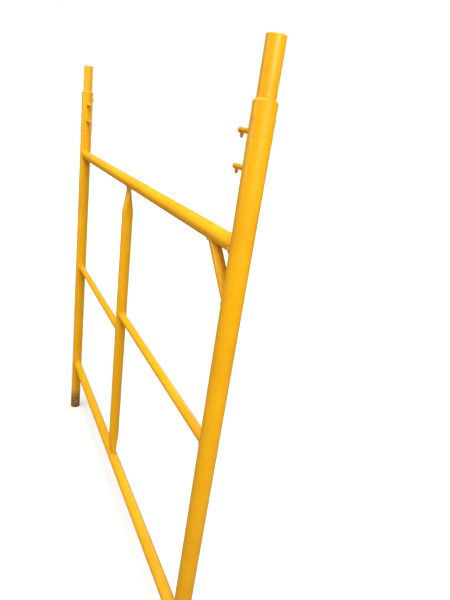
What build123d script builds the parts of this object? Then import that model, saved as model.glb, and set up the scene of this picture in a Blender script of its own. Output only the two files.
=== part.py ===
from build123d import *
from math import asin, cos, sin
import os

os.makedirs("parts", exist_ok=True)

# Ladder frame section: two posts, three levels of cross tube, one centre upright,
# one knee brace, a coupling pin on each post and four brace studs with drop latches.
# X runs across the frame, Y is square to it, Z is up; the origin is mid-width at foot level.

# posts
post_height = 1700
clear_width = 1524
post_od = 48.3
post_wall = 3.2
post_r = post_od / 2
post_bore_r = post_r - post_wall
post_x = clear_width / 2 + post_r
sides = {"knee": 1, "plain": -1}

# cross tubes
bar_od = 38.1
bar_wall = 2.6
bar_r = bar_od / 2
rail_od = 26.9
rail_wall = 2.3
rail_r = rail_od / 2
top_bar_drop = 277
bottom_bar_rise = 286
rail_mean_rise = 893.5
rail_stagger = 67
top_bar_z = post_height - top_bar_drop
bottom_bar_z = bottom_bar_rise

# centre upright, a tube that leans a little, with its top pressed flat and its foot pressed oval
upright_shift = -3.5
upright_lean = 45
crimp_length = 75
crimp_stub = 6
top_crimp_width = 50
top_crimp_thickness = 8
foot_crimp_width = 52
foot_crimp_thickness = 21.5
upright_foot_x = upright_shift + upright_lean / 2
upright_top_x = upright_shift - upright_lean / 2
upright_foot = Vector(upright_foot_x, 0, bottom_bar_z)
upright_top = Vector(upright_top_x, 0, top_bar_z)
upright_axis = upright_top - upright_foot
upright_length = upright_axis.length
crimps = {
    0: (foot_crimp_thickness / 2, foot_crimp_width / 2),
    upright_length: (top_crimp_thickness / 2, top_crimp_width / 2),
}
upright_plane = Plane(origin=upright_foot, x_dir=(0, 1, 0), z_dir=upright_axis)

# knee brace, between the top bar and the post on one side
knee_run = 137
knee_drop = 148
knee_start = Vector(post_x, 0, top_bar_z - knee_drop)
knee_end = Vector(post_x - knee_run, 0, top_bar_z)
knee_length = (knee_end - knee_start).length
knee_plane = Plane(origin=knee_start, x_dir=(0, 1, 0), z_dir=knee_end - knee_start)

# coupling pins, swelled to fill the post where they seat in it, and the rivets that hold them,
# each with a domed head on one face of the frame and its other end flush
pin_od = 38
pin_wall = 3
pin_r = pin_od / 2
pin_reach = 110
pin_seat = 100
pin_length = pin_seat + pin_reach
pin_edge = 2
pin_taper = 2
rivet_drop = 30
rivet_r = 4
rivet_head_r = 7
rivet_head_height = 4.5
rivet_z = post_height - rivet_drop
dome_r = (rivet_head_r**2 + rivet_head_height**2) / (2 * rivet_head_height)
dome_top = post_r + rivet_head_height
dome_mid = dome_top - dome_r + dome_r * cos(asin(rivet_head_r / dome_r) / 2)
dome_mid_r = dome_r * sin(asin(rivet_head_r / dome_r) / 2)

# foot of each post: the bore is reamed to clear a coupling pin, with a cross hole near the end
foot_bore_r = 21.25
foot_bore_depth = 130
lock_hole_r = 5.5
lock_hole_rise = 39

# brace studs: a thick root for the weld, a land that takes the brace end, and a slimmer head
# with a slot right through from above to below
stud_root_r = 6.5
stud_root_length = 4
stud_r = 6
stud_land_length = 18
stud_head_r = 5.7
stud_reach = 57
stud_drop = 53
stud_pitch = 70
stud_tip_edge = 1.2
slot_tip_gap = 3.5
slot_width = 4.4
latch_end_gap = 1.5
stud_land_end = stud_root_length + stud_land_length
stud_steps = {stud_root_r: stud_root_length, stud_r: stud_land_end, stud_head_r: stud_reach}
levels = {"upper": post_height - stud_drop, "lower": post_height - stud_drop - stud_pitch}

# drop latches
latch_side_gap = 0.5
latch_half_width = 4.8
latch_tail = 14.5
latch_nose = 5.4
latch_pin_r = 1.6
latch_pin_play = 0.05
latch_pin_sunk = 0.4
latch_pin_edge = 0.2
latch_pin_half = stud_head_r - latch_pin_sunk
latch_edge = 0.5
latch_thickness = slot_width - 2 * latch_side_gap
slot_length = latch_tail + latch_nose + 2 * latch_end_gap
latch_pivot_from_tip = slot_tip_gap + latch_end_gap + latch_nose

# weld beads
bead_size = 4
small_bead_size = 3
collar_bead_height = 3.5
collar_bead_crown = 0.7
collar_top = post_height + collar_bead_height


def post_plane(side, z=0):
    """Plane across one post, its normal along the post."""
    return Plane(origin=(side * post_x, 0, z), z_dir=(0, 0, 1))


def bar_plane(z, x=0, direction=1):
    """Plane across a level tube, its normal along X."""
    return Plane(origin=(x, 0, z), x_dir=(0, 1, 0), z_dir=(direction, 0, 0))


def tube(plane, radius, wall, length):
    """Round tube drawn on a plane and drawn out along its normal."""
    with BuildPart() as body:
        with BuildSketch(plane):
            Circle(radius)
            Circle(radius - wall, mode=Mode.SUBTRACT)
        extrude(amount=length)
    return body.part


def rod(plane, radius, length):
    """Solid round bar, the space that a tube or a drill takes up."""
    with BuildPart() as body:
        with BuildSketch(plane):
            Circle(radius)
        extrude(amount=length)
    return body.part


def rivet_hole(side):
    """Straight hole for a pin rivet, square to the frame."""
    start = Plane(origin=(side * post_x, post_r, rivet_z), z_dir=(0, -1, 0))
    return rod(start, rivet_r, post_od)


def bead(branch_plane, branch_r, host_plane, host_r, size):
    """Weld ring round a branch tube where it meets the tube that carries it."""
    reach = 3 * (host_r + branch_r)
    host_start = host_plane.offset(-reach)
    with BuildPart() as ring:
        with BuildSketch(branch_plane):
            Circle(branch_r + size)
        extrude(amount=reach)
        with BuildSketch(host_start):
            Circle(host_r + size)
        extrude(amount=2 * reach, mode=Mode.INTERSECT)
        add(rod(host_start, host_r, 2 * reach), mode=Mode.SUBTRACT)
        add(rod(branch_plane, branch_r, reach), mode=Mode.SUBTRACT)
    return ring.part


def export(part, name):
    part.label = name
    export_step(part, f"parts/{name}.step")


# Posts: rivet hole below the mouth, reamed bore and cross hole at the foot.
for name, side in sides.items():
    lock_hole = bar_plane(lock_hole_rise, side * post_x - post_r)
    with BuildPart() as post:
        add(tube(post_plane(side), post_r, post_wall, post_height))
        add(rod(post_plane(side), foot_bore_r, foot_bore_depth), mode=Mode.SUBTRACT)
        add(rivet_hole(side), mode=Mode.SUBTRACT)
        add(rod(lock_hole, lock_hole_r, post_od), mode=Mode.SUBTRACT)
    export(post.part, f"{name}_post")

# Top and bottom bars, each end shaped to sit round its post.
for name, level in {"top_bar": top_bar_z, "bottom_bar": bottom_bar_z}.items():
    with BuildPart() as bar:
        add(tube(bar_plane(level, -post_x), bar_r, bar_wall, 2 * post_x))
        for side in sides.values():
            add(rod(post_plane(side), post_r, post_height), mode=Mode.SUBTRACT)
    export(bar.part, name)

# Centre upright: the round body runs into an oval pressed end at each bar.
def pressed_tube(shrink):
    """Outline of the upright with both ends pressed, taken in by shrink all round."""
    stub = bar_r + crimp_stub
    round_from = stub + crimp_length
    with BuildPart() as body:
        with BuildSketch(upright_plane.offset(round_from)):
            Circle(bar_r - shrink)
        extrude(amount=upright_length - 2 * round_from)
        for start, (half_thickness, half_width) in crimps.items():
            inward = 1 if start == 0 else -1
            with BuildSketch(upright_plane.offset(start + inward * stub)):
                Ellipse(half_thickness - shrink, half_width - shrink)
            with BuildSketch(upright_plane.offset(start + inward * round_from)):
                Circle(bar_r - shrink)
            loft()
            with BuildSketch(upright_plane.offset(start)):
                Ellipse(half_thickness - shrink, half_width - shrink)
            extrude(amount=inward * stub)
    return body.part


with BuildPart() as centre_upright:
    add(pressed_tube(0))
    add(pressed_tube(bar_wall), mode=Mode.SUBTRACT)
    for level in (top_bar_z, bottom_bar_z):
        add(rod(bar_plane(level, -post_x), bar_r, 2 * post_x), mode=Mode.SUBTRACT)
export(centre_upright.part, "centre_upright")

# Mid rails: one each side of the upright, the one on the knee side higher.
rail_levels = {name: rail_mean_rise + side * rail_stagger / 2 for name, side in sides.items()}
upright_slope = (upright_top_x - upright_foot_x) / (top_bar_z - bottom_bar_z)
rail_starts = {
    name: upright_foot_x + upright_slope * (level - bottom_bar_z) for name, level in rail_levels.items()
}
for name, side in sides.items():
    start_x = rail_starts[name]
    with BuildPart() as rail:
        add(tube(bar_plane(rail_levels[name], start_x, side), rail_r, rail_wall, post_x - side * start_x))
        add(rod(upright_plane, bar_r, upright_length), mode=Mode.SUBTRACT)
        add(rod(post_plane(side), post_r, post_height), mode=Mode.SUBTRACT)
    export(rail.part, f"mid_rail_{name}")

# Knee brace.
with BuildPart() as knee_brace:
    add(tube(knee_plane, rail_r, rail_wall, knee_length))
    add(rod(post_plane(sides["knee"]), post_r, post_height), mode=Mode.SUBTRACT)
    add(rod(bar_plane(top_bar_z, -post_x), bar_r, 2 * post_x), mode=Mode.SUBTRACT)
export(knee_brace.part, "knee_brace")

# Coupling pins, each a tube seated in the mouth of its post and cross-riveted.
for name, side in sides.items():
    pin_base = post_plane(side, post_height - pin_seat)
    with BuildPart() as pin:
        with BuildSketch(pin_base):
            Circle(pin_r)
        extrude(amount=pin_length)
        fillet(pin.edges().group_by(Axis.Z)[-1], pin_edge)
        with BuildSketch(pin_base):
            Circle(post_bore_r)
        extrude(amount=pin_seat + collar_bead_height)
        with BuildSketch(post_plane(side, collar_top)):
            Circle(post_bore_r)
        with BuildSketch(post_plane(side, collar_top + pin_taper)):
            Circle(pin_r)
        loft()
        add(rod(pin_base, pin_r - pin_wall, pin_length), mode=Mode.SUBTRACT)
        add(rivet_hole(side), mode=Mode.SUBTRACT)
    export(pin.part, f"coupling_pin_{name}")

    with BuildPart() as rivet:
        with BuildSketch(Plane(origin=(side * post_x, 0, rivet_z), x_dir=(0, 1, 0), z_dir=(1, 0, 0))):
            with BuildLine():
                Polyline((-post_r, rivet_r), (-post_r, 0), (dome_top, 0))
                ThreePointArc((dome_top, 0), (dome_mid, dome_mid_r), (post_r, rivet_head_r))
                Polyline((post_r, rivet_head_r), (post_r, rivet_r), (-post_r, rivet_r))
            make_face()
        revolve(axis=Axis((side * post_x, 0, rivet_z), (0, 1, 0)))
    export(rivet.part, f"pin_rivet_{name}")

    # bead round the pin where it leaves the post
    with BuildPart() as collar:
        with BuildSketch(Plane.XZ):
            with BuildLine():
                inner_top = (post_bore_r, collar_top)
                crown_r = post_bore_r + collar_bead_crown * post_wall
                crown = (crown_r, post_height + collar_bead_crown * collar_bead_height)
                Polyline(inner_top, (post_bore_r, post_height), (post_r, post_height))
                ThreePointArc((post_r, post_height), crown, inner_top)
            make_face()
        revolve(axis=Axis.Z)
    export(Pos(side * post_x, 0, 0) * collar.part, f"pin_bead_{name}")

# Brace studs with their latch pins and drop latches.
for name, side in sides.items():
    tip_x = side * (post_x - post_r - stud_reach)
    pivot_x = tip_x + side * latch_pivot_from_tip
    slot_mid_x = tip_x + side * (slot_tip_gap + slot_length / 2)
    for level, z in levels.items():
        with BuildPart() as stud:
            for radius, reach in stud_steps.items():
                with BuildSketch(bar_plane(z, side * post_x, -side)):
                    Circle(radius)
                extrude(amount=post_r + reach)
            tip_face = stud.faces().sort_by(Axis.X)[0 if side > 0 else -1]
            chamfer(tip_face.edges(), stud_tip_edge)
            add(rod(post_plane(side), post_r, post_height), mode=Mode.SUBTRACT)
            with BuildSketch(Plane.XY.offset(z - stud_head_r)):
                with Locations((slot_mid_x, 0)):
                    Rectangle(slot_length, slot_width)
            extrude(amount=2 * stud_head_r, mode=Mode.SUBTRACT)
            with BuildSketch(Plane(origin=(pivot_x, stud_head_r, z), z_dir=(0, -1, 0))):
                Circle(latch_pin_r)
            extrude(amount=2 * stud_head_r, mode=Mode.SUBTRACT)
        export(stud.part, f"stud_{name}_{level}")

        with BuildPart() as latch_pin:
            with BuildSketch(Plane(origin=(pivot_x, latch_pin_half, z), z_dir=(0, -1, 0))):
                Circle(latch_pin_r)
            extrude(amount=2 * latch_pin_half)
            chamfer(latch_pin.edges().filter_by(GeomType.CIRCLE), latch_pin_edge)
        export(latch_pin.part, f"latch_pin_{name}_{level}")

        flank = Plane(origin=(pivot_x, latch_thickness / 2, z), x_dir=(1, 0, 0), z_dir=(0, -1, 0))
        with BuildPart() as latch:
            with BuildSketch(flank):
                with Locations((0, (latch_nose - latch_tail) / 2)):
                    SlotOverall(latch_tail + latch_nose, 2 * latch_half_width, rotation=90)
            extrude(amount=latch_thickness)
            chamfer(latch.faces().filter_by(Axis.Y).edges(), latch_edge)
            with BuildSketch(flank):
                Circle(latch_pin_r + latch_pin_play)
            extrude(amount=latch_thickness, mode=Mode.SUBTRACT)
        export(latch.part, f"latch_{name}_{level}")

# Weld beads, one node for each kind of joint.
for kind, level in {"top_bar": top_bar_z, "bottom_bar": bottom_bar_z}.items():
    ends = [
        bead(bar_plane(level, side * post_x, -side), bar_r, post_plane(side, level), post_r, bead_size)
        for side in sides.values()
    ]
    export(Compound(ends), f"{kind}_beads")

for name, side in sides.items():
    level = rail_levels[name]
    start_x = rail_starts[name]
    at_upright = Plane(origin=(start_x, 0, level), x_dir=(0, 1, 0), z_dir=upright_axis)
    at_post = post_plane(side, level)
    ends = [
        bead(bar_plane(level, side * post_x, -side), rail_r, at_post, post_r, small_bead_size),
        bead(bar_plane(level, start_x, side), rail_r, at_upright, bar_r, small_bead_size),
    ]
    export(Compound(ends), f"mid_rail_beads_{name}")

    ends = [
        bead(bar_plane(z, side * post_x, -side), stud_root_r, post_plane(side, z), post_r, small_bead_size)
        for z in levels.values()
    ]
    export(Compound(ends), f"stud_beads_{name}")

knee_down = Plane(origin=knee_end, x_dir=(0, 1, 0), z_dir=knee_start - knee_end)
knee_post = post_plane(sides["knee"], knee_start.Z)
ends = [
    bead(knee_plane, rail_r, knee_post, post_r, small_bead_size),
    bead(knee_down, rail_r, bar_plane(top_bar_z, knee_end.X), bar_r, small_bead_size),
]
export(Compound(ends), "knee_beads")

ends = []
for start, (half_thickness, half_width) in crimps.items():
    direction, level = (1, bottom_bar_z) if start == 0 else (-1, top_bar_z)
    with BuildPart() as ring:
        with BuildSketch(upright_plane.offset(start)):
            Ellipse(half_thickness + small_bead_size, half_width + small_bead_size)
            Ellipse(half_thickness, half_width, mode=Mode.SUBTRACT)
        extrude(amount=direction * (bar_r + crimp_stub))
        add(rod(bar_plane(level, -post_x), bar_r + small_bead_size, 2 * post_x), mode=Mode.INTERSECT)
        add(rod(bar_plane(level, -post_x), bar_r, 2 * post_x), mode=Mode.SUBTRACT)
    ends.append(ring.part)
export(Compound(ends), "upright_beads")
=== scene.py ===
import math
import random

import bpy
from mathutils import Matrix, Vector


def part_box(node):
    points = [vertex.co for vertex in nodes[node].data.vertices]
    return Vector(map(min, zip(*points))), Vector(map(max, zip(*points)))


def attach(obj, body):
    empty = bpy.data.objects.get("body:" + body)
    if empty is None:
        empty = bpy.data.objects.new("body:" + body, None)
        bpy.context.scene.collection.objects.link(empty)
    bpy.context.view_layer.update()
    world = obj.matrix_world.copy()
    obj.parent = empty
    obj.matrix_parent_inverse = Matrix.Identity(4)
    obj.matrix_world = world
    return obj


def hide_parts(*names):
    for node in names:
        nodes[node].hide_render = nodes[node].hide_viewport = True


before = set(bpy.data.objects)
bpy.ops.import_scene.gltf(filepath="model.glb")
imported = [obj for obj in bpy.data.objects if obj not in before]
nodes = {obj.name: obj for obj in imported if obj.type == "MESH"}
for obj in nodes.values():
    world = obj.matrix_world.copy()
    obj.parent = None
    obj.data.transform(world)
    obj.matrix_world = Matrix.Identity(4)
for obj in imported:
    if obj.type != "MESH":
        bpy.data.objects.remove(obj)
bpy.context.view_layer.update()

print("frame loaded:", len(nodes), "nodes")


# small helpers

def clearPick():
    # back to object mode with nothing picked, so that an operator only meets what it is given
    if bpy.context.object and bpy.context.object.mode != "OBJECT":
        bpy.ops.object.mode_set(mode="OBJECT")
    bpy.ops.object.select_all(action="DESELECT")


def pick(*things):
    clearPick()
    for thing in things:
        thing.select_set(True)
    bpy.context.view_layer.objects.active = things[0]


def joinUp(name, parts):
    pick(*parts)
    if len(parts) > 1:
        bpy.ops.object.join()
    made = bpy.context.object
    made.name = name
    made.data.name = name
    return made


def fix(thing):
    # place, turn and scale go into the mesh, so that the object itself sits at the origin
    pick(thing)
    bpy.ops.object.transform_apply(location=True, rotation=True, scale=True)


def settle(thing, material, slot, body, *stoodFor):
    thing.data.materials.clear()
    thing.data.materials.append(material)
    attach(thing, body)
    if stoodFor:
        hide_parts(*stoodFor)


def middle(node):
    low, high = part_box(node)
    return (low + high) / 2


# node groups that more than one paint uses

def newGroup(name, inputs, outputs):
    group = bpy.data.node_groups.new(name, "ShaderNodeTree")
    for label, kind, value in inputs:
        socket = group.interface.new_socket(name=label, in_out="INPUT", socket_type=kind)
        if value is not None:
            socket.default_value = value
    for label, kind in outputs:
        group.interface.new_socket(name=label, in_out="OUTPUT", socket_type=kind)
    return group, group.nodes.new("NodeGroupInput"), group.nodes.new("NodeGroupOutput")


def put(tree, kind, settings=None, **wires):
    # one node with its settings, and each wire is a value, or an output of another node
    node = tree.nodes.new(kind)
    for key, value in (settings or {}).items():
        setattr(node, key, value)
    for key, value in wires.items():
        place = int(key[1:]) if key[0] == "i" and key[1:].isdigit() else key.replace("_", " ")
        if isinstance(value, bpy.types.NodeSocket):
            tree.links.new(value, node.inputs[place])
        else:
            node.inputs[place].default_value = value
    return node


def noise(tree, vector, scale, detail=3.0, rough=0.55, twist=0.0):
    made = put(tree, "ShaderNodeTexNoise", None, Vector=vector, Scale=scale, Detail=detail, Roughness=rough)
    made.inputs["Distortion"].default_value = twist
    return made.outputs["Fac"]


def ramp(tree, value, low, high, toLow=0.0, toHigh=1.0):
    # smooth step from toLow to toHigh while value goes from low to high
    made = put(tree, "ShaderNodeMapRange", {"interpolation_type": "SMOOTHSTEP"}, Value=value)
    for label, number in (("From Min", low), ("From Max", high), ("To Min", toLow), ("To Max", toHigh)):
        if isinstance(number, bpy.types.NodeSocket):
            tree.links.new(number, made.inputs[label])
        else:
            made.inputs[label].default_value = number
    return made.outputs["Result"]


def sums(tree, operation, first, second, clamp=False):
    made = put(tree, "ShaderNodeMath", {"operation": operation, "use_clamp": clamp}, i0=first, i1=second)
    return made.outputs[0]


def blendColor(tree, amount, under, over, mode="MIX"):
    settings = {"data_type": "RGBA", "blend_type": mode}
    return put(tree, "ShaderNodeMix", settings, i0=amount, i6=under, i7=over).outputs[2]


colorKind, floatKind, vectorKind = "NodeSocketColor", "NodeSocketFloat", "NodeSocketVector"


def makeBrushedTone():
    # thick and thin brush coats: wide patches, finer clouding and long faint brush marks
    group, start, end = newGroup(
        "brushedTone",
        [("Vector", vectorKind, None), ("Full", colorKind, None), ("Thin", colorKind, None),
         ("Chalky", colorKind, None), ("Patch Scale", floatKind, 7.0)],
        [("Color", colorKind)],
    )
    vector, full, thin, chalky, scale = start.outputs[:5]
    patches = ramp(group, noise(group, vector, scale, 3, 0.5, 0.4), 0.36, 0.68)
    clouds = ramp(group, noise(group, vector, 46.0, 4, 0.6), 0.42, 0.74)
    stretched = put(group, "ShaderNodeMapping", None, Vector=vector, Scale=(330.0, 330.0, 9.0))
    marks = ramp(group, noise(group, stretched.outputs[0], 1.0, 2, 0.5), 0.45, 0.8)
    color = blendColor(group, sums(group, "MULTIPLY", patches, 0.55), full, thin)
    color = blendColor(group, sums(group, "MULTIPLY", clouds, 0.30), color, chalky)
    color = blendColor(group, sums(group, "MULTIPLY", marks, 0.16), color, thin)
    group.links.new(color, end.inputs["Color"])
    return group


def makePaintSkin():
    # height of the paint: sags, fine peel, and pimples of spatter painted over
    group, start, end = newGroup(
        "paintSkin",
        [("Vector", vectorKind, None), ("Pimple Scale", floatKind, 120.0),
         ("Pimple Share", floatKind, 0.35), ("Sag", floatKind, 0.5)],
        [("Height", floatKind), ("Pimples", floatKind)],
    )
    vector, scale, share, sag = start.outputs[:4]
    cells = put(group, "ShaderNodeTexVoronoi", {"feature": "F1"}, Vector=vector, Scale=scale)
    dome = ramp(group, cells.outputs["Distance"], 0.10, 0.42, 1.0, 0.0)
    where = noise(group, vector, 17.0, 2, 0.6)
    edge = sums(group, "SUBTRACT", 1.0, share)
    here = ramp(group, where, edge, sums(group, "ADD", edge, 0.08))
    picked = put(group, "ShaderNodeSeparateColor", None, Color=cells.outputs["Color"])
    some = ramp(group, picked.outputs[0], 0.45, 0.6)
    pimples = sums(group, "MULTIPLY", sums(group, "MULTIPLY", dome, here), some)
    sags = sums(group, "MULTIPLY", noise(group, vector, 34.0, 2, 0.5, 0.6), sag)
    peel = sums(group, "MULTIPLY", noise(group, vector, 300.0, 2, 0.5), 0.05)
    height = sums(group, "ADD", sums(group, "ADD", pimples, sags), peel)
    group.links.new(height, end.inputs["Height"])
    group.links.new(pimples, end.inputs["Pimples"])
    return group


def makePaintChips():
    # small chips down to rust, in loose clusters, each with a thin lifted rim
    group, start, end = newGroup(
        "paintChips",
        [("Vector", vectorKind, None), ("Chip Scale", floatKind, 150.0), ("Share", floatKind, 0.3),
         ("Extra", floatKind, 0.0)],
        [("Chips", floatKind), ("Rims", floatKind)],
    )
    vector, scale, share, extra = start.outputs[:4]
    flakes = noise(group, vector, scale, 5, 0.62, 0.3)
    clusters = ramp(group, noise(group, vector, 9.0, 3, 0.6), 0.46, 0.72)
    worn = sums(group, "ADD", sums(group, "MULTIPLY", clusters, share), extra)
    edge = sums(group, "SUBTRACT", 0.79, sums(group, "MULTIPLY", worn, 0.2))
    chips = ramp(group, flakes, edge, sums(group, "ADD", edge, 0.012))
    wider = ramp(group, flakes, sums(group, "SUBTRACT", edge, 0.02), edge)
    rims = sums(group, "SUBTRACT", wider, chips, True)
    group.links.new(chips, end.inputs["Chips"])
    group.links.new(rims, end.inputs["Rims"])
    return group


def makeHeightZones():
    # masks by place on the frame: site dirt at the feet, rubbed metal round the studs and pins, and painted
    # shade on faces that look down
    group, start, end = newGroup(
        "heightZones",
        [("Vector", vectorKind, None), ("Dirt Top", floatKind, 0.15), ("Rub From", floatKind, 1.52),
         ("Hole Level", floatKind, 0.039)],
        [("Dirt", floatKind), ("Rub", floatKind), ("Underside Shade", floatKind), ("Hole Rim Highlight", floatKind),
         ("End", floatKind)],
    )
    vector, dirtTop, rubFrom, holeLevel = start.outputs[:4]
    split = put(group, "ShaderNodeSeparateXYZ", None, Vector=vector)
    up = split.outputs[2]
    ragged = sums(group, "MULTIPLY", noise(group, vector, 38.0, 5, 0.65), 0.11)
    dirtEdge = sums(group, "ADD", sums(group, "SUBTRACT", up, dirtTop), ragged)
    dirt = ramp(group, dirtEdge, -0.05, 0.055, 1.0, 0.0)
    rub = ramp(group, up, rubFrom, sums(group, "ADD", rubFrom, 0.12))
    facing = put(group, "ShaderNodeNewGeometry")
    turned = put(group, "ShaderNodeSeparateXYZ", None, Vector=facing.outputs["Normal"])
    # painted shade: faces that look down are marked for a darker colour
    shadeBelow = ramp(group, turned.outputs[2], -0.9, -0.1, 1.0, 0.0)
    # painted highlight: a pale bright ring round the cross hole at the foot, which runs along X
    above = sums(group, "SUBTRACT", up, holeLevel)
    away = put(group, "ShaderNodeCombineXYZ", None, X=0.0, Y=split.outputs[1], Z=above)
    reach = put(group, "ShaderNodeVectorMath", {"operation": "LENGTH"}, i0=away.outputs[0]).outputs["Value"]
    reach = sums(group, "ADD", reach, sums(group, "MULTIPLY", noise(group, vector, 160.0, 3, 0.6), 0.0035))
    ringHighlight = ramp(group, reach, 0.0082, 0.0104, 1.0, 0.0)
    lowEdge = sums(group, "ADD", up, sums(group, "MULTIPLY", ragged, 0.12))
    lowEnd = ramp(group, lowEdge, 0.004, 0.022, 1.0, 0.0)
    group.links.new(ringHighlight, end.inputs["Hole Rim Highlight"])
    group.links.new(lowEnd, end.inputs["End"])
    group.links.new(dirt, end.inputs["Dirt"])
    group.links.new(rub, end.inputs["Rub"])
    group.links.new(shadeBelow, end.inputs["Underside Shade"])
    return group


brushedTone = makeBrushedTone()
paintSkin = makePaintSkin()
paintChips = makePaintChips()
heightZones = makeHeightZones()


def makeEnamel(name, look):
    material = bpy.data.materials.new(name)
    material.use_nodes = True
    tree = material.node_tree
    shader = tree.nodes["Principled BSDF"]
    place = put(tree, "ShaderNodeTexCoord").outputs["Object"]

    tone = put(tree, "ShaderNodeGroup", {"node_tree": brushedTone}, Vector=place)
    tone.inputs["Full"].default_value = (*look["full"], 1)
    tone.inputs["Thin"].default_value = (*look["thin"], 1)
    tone.inputs["Chalky"].default_value = (*look["chalky"], 1)
    tone.inputs["Patch Scale"].default_value = look["patchScale"]
    skin = put(tree, "ShaderNodeGroup", {"node_tree": paintSkin}, Vector=place, Sag=look["sag"])
    skin.inputs["Pimple Scale"].default_value = look["pimpleScale"]
    zones = put(tree, "ShaderNodeGroup", {"node_tree": heightZones}, Vector=place)
    share = sums(tree, "MULTIPLY", zones.outputs["Rub"], look["pimpleRub"])
    share = sums(tree, "ADD", share, look["pimpleShare"])
    tree.links.new(share, skin.inputs["Pimple Share"])
    chips = put(tree, "ShaderNodeGroup", {"node_tree": paintChips}, Vector=place)
    chips.inputs["Share"].default_value = look["chipShare"]
    chips.inputs["Chip Scale"].default_value = look["chipScale"]
    extra = sums(tree, "MULTIPLY", zones.outputs["Rub"], look["rubChips"])
    extra = sums(tree, "ADD", extra, sums(tree, "MULTIPLY", zones.outputs["Dirt"], 0.9))
    tree.links.new(extra, chips.inputs["Extra"])

    def paintOver(under, mask, strength, over):
        return blendColor(tree, sums(tree, "MULTIPLY", mask, strength), under, over)

    rust = noise(tree, place, 260.0, 4, 0.7)
    rust = blendColor(tree, rust, (*look["rustDark"], 1), (*look["rustLight"], 1))
    soil = noise(tree, place, 90.0, 5, 0.7)
    soil = blendColor(tree, soil, (*look["soilDark"], 1), (*look["soilLight"], 1))
    color = tone.outputs["Color"]
    # painted shade: faces that look down take the darker thin-coat colour
    color = paintOver(color, zones.outputs["Underside Shade"], look["undersideShade"], (*look["thin"], 1))
    color = paintOver(color, skin.outputs["Pimples"], look["pimpleTint"], (*look["chalky"], 1))
    color = paintOver(color, zones.outputs["Dirt"], look["dirtCover"], soil)
    color = paintOver(color, zones.outputs["End"], look["endCover"], (*look["soilDark"], 1))
    # painted highlight: the pale bright ring round the foot's cross hole
    color = blendColor(tree, zones.outputs["Hole Rim Highlight"], color, (*look["holeRimHighlight"], 1))
    color = paintOver(color, chips.outputs["Rims"], look["rimCover"], (*look["rimShade"], 1))
    color = blendColor(tree, chips.outputs["Chips"], color, rust)
    tree.links.new(color, shader.inputs["Base Color"])

    sheen = ramp(tree, noise(tree, place, 21.0, 3, 0.6), 0.3, 0.75, look["roughLow"], look["roughHigh"])
    rougher = sums(tree, "ADD", sums(tree, "MULTIPLY", zones.outputs["Dirt"], 0.45), sheen, True)
    worn = sums(tree, "ADD", sums(tree, "MULTIPLY", chips.outputs["Chips"], 0.5), rougher, True)
    tree.links.new(worn, shader.inputs["Roughness"])

    pits = sums(tree, "MULTIPLY", chips.outputs["Chips"], 0.45)
    height = sums(tree, "SUBTRACT", skin.outputs["Height"], pits)
    bump = put(tree, "ShaderNodeBump", None, Height=height, Distance=look["bumpDepth"])
    bump.inputs["Strength"].default_value = look["bumpStrength"]
    tree.links.new(bump.outputs["Normal"], shader.inputs["Normal"])
    shader.inputs["Coat Weight"].default_value = look["coat"]
    shader.inputs["Coat Roughness"].default_value = look["coatRough"]
    shader.inputs["Specular IOR Level"].default_value = look["gloss"]
    return material


# yellow-orange gloss enamel, brushed over old paint and weld spatter
tubePaint = {
    "full": (0.945, 0.486, 0.003),
    "thin": (0.850, 0.376, 0.001),
    "chalky": (0.970, 0.560, 0.022),
    "patchScale": 6.0,
    "sag": 0.45,
    "pimpleScale": 135.0,
    "pimpleShare": 0.33,
    "pimpleRub": 0.14,
    "chipScale": 120.0,
    "chipShare": 0.35,
    "rubChips": 0.18,
    "rustDark": (0.060, 0.018, 0.004),
    "rustLight": (0.270, 0.095, 0.020),
    "soilDark": (0.070, 0.040, 0.012),
    "soilLight": (0.360, 0.225, 0.070),
    # colour of the painted highlight round the foot's cross hole
    "holeRimHighlight": (0.900, 0.620, 0.240),
    "rimShade": (0.450, 0.160, 0.010),
    # strength of the painted shade on faces that look down
    "undersideShade": 0.55,
    "pimpleTint": 0.25,
    "dirtCover": 0.85,
    "endCover": 0.8,
    "rimCover": 0.35,
    "roughLow": 0.33,
    "roughHigh": 0.52,
    "bumpDepth": 0.0016,
    "bumpStrength": 0.55,
    "gloss": 0.34,
    "coat": 0.06,
    "coatRough": 0.16,
}
weldPaint = dict(
    tubePaint, pimpleScale=210.0, pimpleShare=0.5, chipShare=0.8, chipScale=210.0,
    thin=(0.66, 0.255, 0.002), undersideShade=0.7, bumpDepth=0.0011, patchScale=26.0,
)
pinPaint = dict(tubePaint, pimpleShare=0.24, pimpleRub=0.05, chipShare=0.25, rubChips=0.1, patchScale=11.0)
studPaint = dict(
    tubePaint, full=(0.88, 0.400, 0.004), pimpleScale=230.0, pimpleShare=0.46, pimpleRub=0.0,
    chipScale=260.0, rubChips=0.85, patchScale=40.0, bumpDepth=0.0010,
)

tubeEnamel = makeEnamel("tubeEnamel", tubePaint)
weldEnamel = makeEnamel("weldEnamel", weldPaint)
pinEnamel = makeEnamel("pinEnamel", pinPaint)
studEnamel = makeEnamel("studEnamel", studPaint)
print("paints mixed")


# the CAD tubes keep their shape and take the paint

tubeNodes = [
    "knee_post", "plain_post", "top_bar", "bottom_bar", "centre_upright",
    "mid_rail_knee", "mid_rail_plain", "knee_brace",
]
for name, node in nodes.items():
    if name in tubeNodes:
        paint = tubeEnamel
    elif name.startswith("coupling_pin"):
        paint = pinEnamel
    elif name.startswith(("stud", "latch")) and "beads" not in name:
        paint = studEnamel
    else:
        paint = weldEnamel
    node.data.materials.clear()
    node.data.materials.append(paint)
print("frame painted")


# weld beads: rings of overlapping scales that follow the saddle between two tubes

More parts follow.
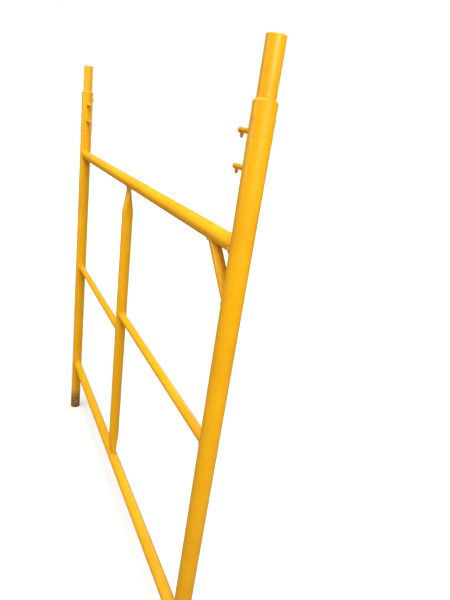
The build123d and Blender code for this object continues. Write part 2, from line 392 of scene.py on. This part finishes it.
welds = {
    "barSize": 0.0052,
    "railSize": 0.0042,
    "studSize": 0.0034,
    "mouthSize": 0.0025,
    "scaleLength": 0.0026,
    "stepsPerScale": 5,
    "facets": 10,
    "ripple": 0.34,
    "uneven": 0.20,
    "wander": 0.10,
    "drawnRadius": 0.25,
    "fullness": 0.62,
    "outset": 0.28,
    "lift": 0.22,
    "crownPower": 0.7,
    "crownMean": 0.6,
    "studHalf": 0.0062,
    "mouthRise": 0.0002,
    "seed": 41,
}


def saddleRise(x, y, hostAxis, hostR):
    # height along the branch tube at which (x, y) meets the round tube that carries it
    if hostR is None:
        return 0.0
    flat = Vector((x, y, 0))
    along = hostAxis.z
    a = 1 - along ** 2
    b = -2 * along * flat.dot(hostAxis)
    c = flat.dot(flat) - flat.dot(hostAxis) ** 2 - hostR ** 2
    return (-b + math.sqrt(max(b * b - 4 * a * c, 0.0))) / (2 * a)


def layBead(start, direction, halfWidths, size, hostAxis, hostR, seed, sideways=(0, 1, 0)):
    # start lies on the carrying tube's axis; halfWidths are the branch tube's own half sizes
    direction = Vector(direction).normalized()
    acrossX = Vector(sideways)
    acrossX = (acrossX - direction * acrossX.dot(direction)).normalized()
    acrossY = direction.cross(acrossX)
    turned = Matrix((acrossX, acrossY, direction))
    host = turned @ Vector(hostAxis) if hostR else None
    place = Matrix.Translation(start) @ turned.transposed().to_4x4()
    girth = math.pi * (halfWidths[0] + halfWidths[1] + size)
    scales = max(12, round(girth / welds["scaleLength"]))
    steps = scales * welds["stepsPerScale"]
    clearPick()
    bpy.ops.mesh.primitive_torus_add(
        major_segments=steps, minor_segments=welds["facets"], major_radius=1,
        minor_radius=welds["drawnRadius"],
    )
    ring = bpy.context.object
    rng = random.Random(seed)
    fatness = [rng.uniform(-1, 1) for _ in range(scales)]
    drift = [rng.uniform(-1, 1) for _ in range(scales)]
    for vertex in ring.data.vertices:
        x, y, z = vertex.co
        angle = math.atan2(y, x)
        turn = (angle / math.tau) % 1 * scales
        number = int(turn) % scales
        part = turn - int(turn)
        ease = part * part * (3 - 2 * part)
        after = (number + 1) % scales
        fat = fatness[number] * (1 - ease) + fatness[after] * ease
        shift = drift[number] * (1 - ease) + drift[after] * ease
        crown = math.sin(math.pi * part) ** welds["crownPower"]
        swell = 1 + welds["ripple"] * (crown - welds["crownMean"]) + welds["uneven"] * fat
        outward = (math.hypot(x, y) - 1) / welds["drawnRadius"] * size * welds["fullness"] * swell
        rise = z / welds["drawnRadius"] * size * welds["fullness"] * swell
        path = size * (welds["outset"] + welds["wander"] * shift)
        middleX = (halfWidths[0] + path) * math.cos(angle)
        middleY = (halfWidths[1] + path) * math.sin(angle)
        seat = saddleRise(middleX, middleY, host, hostR) + size * welds["lift"]
        reach = (halfWidths[0] + path + outward, halfWidths[1] + path + outward)
        vertex.co = (reach[0] * math.cos(angle), reach[1] * math.sin(angle), seat + rise)
    ring.matrix_world = place
    fix(ring)
    bpy.ops.object.mode_set(mode="EDIT")
    bpy.ops.mesh.select_all(action="SELECT")
    bpy.ops.mesh.normals_make_consistent(inside=False)
    bpy.ops.object.mode_set(mode="OBJECT")
    bpy.ops.object.shade_smooth()
    return ring


sides = {"knee": 1, "plain": -1}
postX = middle("knee_post").x
postR = (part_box("knee_post")[1].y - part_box("knee_post")[0].y) / 2
postWall = 0.0032
barR = (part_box("top_bar")[1].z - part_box("top_bar")[0].z) / 2
railR = (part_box("mid_rail_knee")[1].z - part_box("mid_rail_knee")[0].z) / 2
levels = {
    "top_bar": middle("top_bar").z,
    "bottom_bar": middle("bottom_bar").z,
    "mid_rail_knee": middle("mid_rail_knee").z,
    "mid_rail_plain": middle("mid_rail_plain").z,
}
upright = {"footX": 0.019, "topX": -0.026, "footHalf": (0.01075, 0.026), "topHalf": (0.004, 0.025)}
uprightFoot = Vector((upright["footX"], 0, levels["bottom_bar"]))
uprightTop = Vector((upright["topX"], 0, levels["top_bar"]))
uprightWay = (uprightTop - uprightFoot).normalized()
knee = {"run": 0.137, "drop": 0.148}
kneeFoot = Vector((postX, 0, levels["top_bar"] - knee["drop"]))
kneeTop = Vector((postX - knee["run"], 0, levels["top_bar"]))
upWay = (0, 0, 1)
acrossWay = (1, 0, 0)

seed = welds["seed"]
for bar in ("top_bar", "bottom_bar"):
    rings = []
    for side in sides.values():
        seed += 1
        start = Vector((side * postX, 0, levels[bar]))
        rings.append(layBead(start, (-side, 0, 0), (barR, barR), welds["barSize"], upWay, postR, seed))
    bead = joinUp(bar.replace("_bar", "BarWelds"), rings)
    settle(bead, weldEnamel, "enamel", "frame", f"{bar}_beads")

for name, side in sides.items():
    level = levels[f"mid_rail_{name}"]
    along = (level - levels["bottom_bar"]) / (levels["top_bar"] - levels["bottom_bar"])
    meets = uprightFoot.lerp(uprightTop, along)
    seed += 2
    half = (railR, railR)
    atPost = Vector((side * postX, 0, level))
    rings = [
        layBead(atPost, (-side, 0, 0), half, welds["railSize"], upWay, postR, seed),
        layBead(meets, (side, 0, 0), half, welds["railSize"], uprightWay, barR, seed + 40),
    ]
    bead = joinUp(f"midRailWelds_{name}", rings)
    settle(bead, weldEnamel, "enamel", "frame", f"mid_rail_beads_{name}")

    rings = []
    for level in ("upper", "lower"):
        seed += 1
        start = Vector((side * postX, 0, middle(f"stud_{name}_{level}").z))
        half = (welds["studHalf"], welds["studHalf"])
        rings.append(layBead(start, (-side, 0, 0), half, welds["studSize"], upWay, postR, seed))
    bead = joinUp(f"studWelds_{name}", rings)
    settle(bead, weldEnamel, "enamel", "frame", f"stud_beads_{name}")

    # bead that closes the mouth of the post round the coupling pin
    seed += 1
    mouth = Vector((side * postX, 0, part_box(f"{name}_post")[1].z + welds["mouthRise"]))
    pinR = postR - postWall
    ring = layBead(mouth, upWay, (pinR, pinR), welds["mouthSize"], upWay, None, seed)
    bead = joinUp(f"mouthWeld_{name}", [ring])
    settle(bead, weldEnamel, "enamel", "frame", f"pin_bead_{name}")

rings = [
    layBead(kneeFoot, kneeTop - kneeFoot, (railR, railR), welds["railSize"], upWay, postR, seed + 5),
    layBead(kneeTop, kneeFoot - kneeTop, (railR, railR), welds["railSize"], acrossWay, barR, seed + 6),
]
bead = joinUp("kneeWelds", rings)
settle(bead, weldEnamel, "enamel", "frame", "knee_beads")

rings = [
    layBead(uprightFoot, uprightWay, upright["footHalf"], welds["railSize"], acrossWay, barR, seed + 7),
    layBead(uprightTop, -uprightWay, upright["topHalf"], welds["railSize"], acrossWay, barR, seed + 8),
]
bead = joinUp("uprightWelds", rings)
settle(bead, weldEnamel, "enamel", "frame", "upright_beads")
print("weld beads laid")


# rivets through the pins: a hammered head on one face, the other end hammered flush

rivets = {
    "halfWidth": 0.0072,
    "height": 0.0046,
    "flushHeight": 0.0004,
    "cutBelow": -0.0016,
    "brim": -0.0012,
    "sunk": 0.0004,
    "dents": 0.0009,
    "knocks": 9,
    "knockFrom": 0.86,
    "seed": 7,
}


def makeRivet(name, side):
    centre = middle(f"pin_rivet_{name}")
    heads = []
    for face in (-1, 1):
        clearPick()
        bpy.ops.mesh.primitive_uv_sphere_add(segments=32, ring_count=18, radius=rivets["halfWidth"])
        head = bpy.context.object
        bpy.ops.object.mode_set(mode="EDIT")
        bpy.ops.mesh.select_all(action="SELECT")
        cut = (0, 0, rivets["cutBelow"])
        bpy.ops.mesh.bisect(plane_co=cut, plane_no=(0, 0, 1), clear_inner=True, use_fill=True)
        bpy.ops.object.mode_set(mode="OBJECT")
        rng = random.Random(rivets["seed"] + face + 10 * side)
        knocks = []
        for _ in range(rivets["knocks"]):
            way = Vector((rng.uniform(-1, 1), rng.uniform(-1, 1), rng.uniform(0.2, 1))).normalized()
            knocks.append((way, rng.uniform(0.3, 1)))
        for vertex in head.data.vertices:
            way = vertex.co.normalized()
            edge = rivets["knockFrom"]
            dent = sum(depth * max(0.0, way.dot(knock) - edge) / (1 - edge) for knock, depth in knocks)
            vertex.co -= way * rivets["dents"] * min(dent, 1.0)
            tall = rivets["height"] if face > 0 else rivets["flushHeight"]
            vertex.co.z = max(vertex.co.z, rivets["brim"]) * tall / rivets["halfWidth"]
        head.matrix_world = (
            Matrix.Translation((centre.x, face * (postR - rivets["sunk"]), centre.z))
            @ Matrix.Rotation(-face * math.pi / 2, 4, "X")
        )
        fix(head)
        bpy.ops.object.mode_set(mode="EDIT")
        bpy.ops.mesh.select_all(action="SELECT")
        bpy.ops.mesh.normals_make_consistent(inside=False)
        bpy.ops.object.mode_set(mode="OBJECT")
        bpy.ops.object.shade_smooth_by_angle(angle=math.radians(50))
        heads.append(head)
    made = joinUp(f"pinRivet_{name}", heads)
    settle(made, weldEnamel, "enamel", "frame", f"pin_rivet_{name}")


for name, side in sides.items():
    makeRivet(name, side)
print("rivets set")


# floor, light and camera

studio = {
    "floorColor": (0.87, 0.90, 0.97),
    "floorBounce": (0.34, 0.28, 0.18),
    "floorGlow": 0.13,
    "glowFrom": 0.8,
    "glowTo": 6.5,
    "floorRadius": 30.0,
    "skyForCamera": 1.0,
    "skyForLight": 0.26,
    "skyTone": (1.0, 0.86, 0.62),
    "cameraPlace": (1.56671, -0.47288, 1.64816),
    "cameraTurn": (69.28661, -8.50704, 63.01813),
    "lens": 27.52,
}

clearPick()
bpy.ops.mesh.primitive_circle_add(vertices=128, radius=studio["floorRadius"], fill_type="NGON")
floor = bpy.context.object
floor.location.z = -0.0005
floor.name = "studioFloor"
floorPaint = bpy.data.materials.new("paleFloor")
floorPaint.use_nodes = True
tree = floorPaint.node_tree
spread = put(tree, "ShaderNodeTexCoord").outputs["Object"]
shade = ramp(tree, noise(tree, spread, 1.5, 2), 0.3, 0.7, 0.97, 1.0)
tint = blendColor(tree, shade, (0.84, 0.87, 0.93, 1), (*studio["floorColor"], 1))
looked = put(tree, "ShaderNodeLightPath").outputs["Is Camera Ray"]
tint = blendColor(tree, looked, (*studio["floorBounce"], 1), tint)
away = put(tree, "ShaderNodeVectorMath", {"operation": "LENGTH"}, i0=spread).outputs["Value"]
level = ramp(tree, away, studio["glowFrom"], studio["glowTo"], studio["floorGlow"], 1.0)
glow = sums(tree, "MULTIPLY", level, looked)
card = tree.nodes["Principled BSDF"]
tree.links.new(tint, card.inputs["Base Color"])
tree.links.new(glow, card.inputs["Emission Strength"])
card.inputs["Emission Color"].default_value = (1, 1, 1, 1)
card.inputs["Roughness"].default_value = 1.0
card.inputs["Specular IOR Level"].default_value = 0.0
floor.data.materials.append(floorPaint)

world = bpy.data.worlds.new("studioSky")
bpy.context.scene.world = world
world.use_nodes = True
tree = world.node_tree
sky = tree.nodes["Background"]
seen = put(tree, "ShaderNodeLightPath").outputs["Is Camera Ray"]
level = ramp(tree, seen, 0.0, 1.0, studio["skyForLight"], studio["skyForCamera"])
tree.links.new(level, sky.inputs["Strength"])
tone = blendColor(tree, seen, (*studio["skyTone"], 1), (1, 1, 1, 1))
tree.links.new(tone, sky.inputs["Color"])

lamps = [
    # name, place, aim, width, power, color
    ("overhead", (0.0, -0.5, 4.4), (0.0, 0.0, 1.0), 2.6, 124.0, (1.0, 0.98, 0.95)),
    ("cameraSide", (3.4, -0.3, 2.7), (0.2, 0.0, 1.0), 1.8, 88.0, (1.0, 0.98, 0.95)),
    ("leftFill", (-0.8, -3.4, 1.9), (-0.3, 0.0, 0.9), 2.0, 34.0, (1.0, 0.98, 0.95)),
    ("backFill", (-2.6, 3.2, 2.3), (0.0, 0.0, 0.9), 2.2, 42.0, (1.0, 0.98, 0.95)),
]
for name, place, aim, width, power, color in lamps:
    data = bpy.data.lights.new(name, "AREA")
    data.shape = "DISK"
    data.size = width
    data.energy = power
    data.color = color
    lamp = bpy.data.objects.new(name, data)
    bpy.context.scene.collection.objects.link(lamp)
    lamp.location = place
    lamp.rotation_euler = (Vector(aim) - Vector(place)).to_track_quat("-Z", "Y").to_euler()

cameraData = bpy.data.cameras.new("viewCamera")
cameraData.lens = studio["lens"]
cameraData.sensor_width = 36
cameraData.clip_end = 200
camera = bpy.data.objects.new("viewCamera", cameraData)
bpy.context.scene.collection.objects.link(camera)
camera.location = studio["cameraPlace"]
camera.rotation_euler = [math.radians(turn) for turn in studio["cameraTurn"]]
bpy.context.scene.camera = camera
bpy.context.scene.view_settings.view_transform = "Standard"
print("studio set")
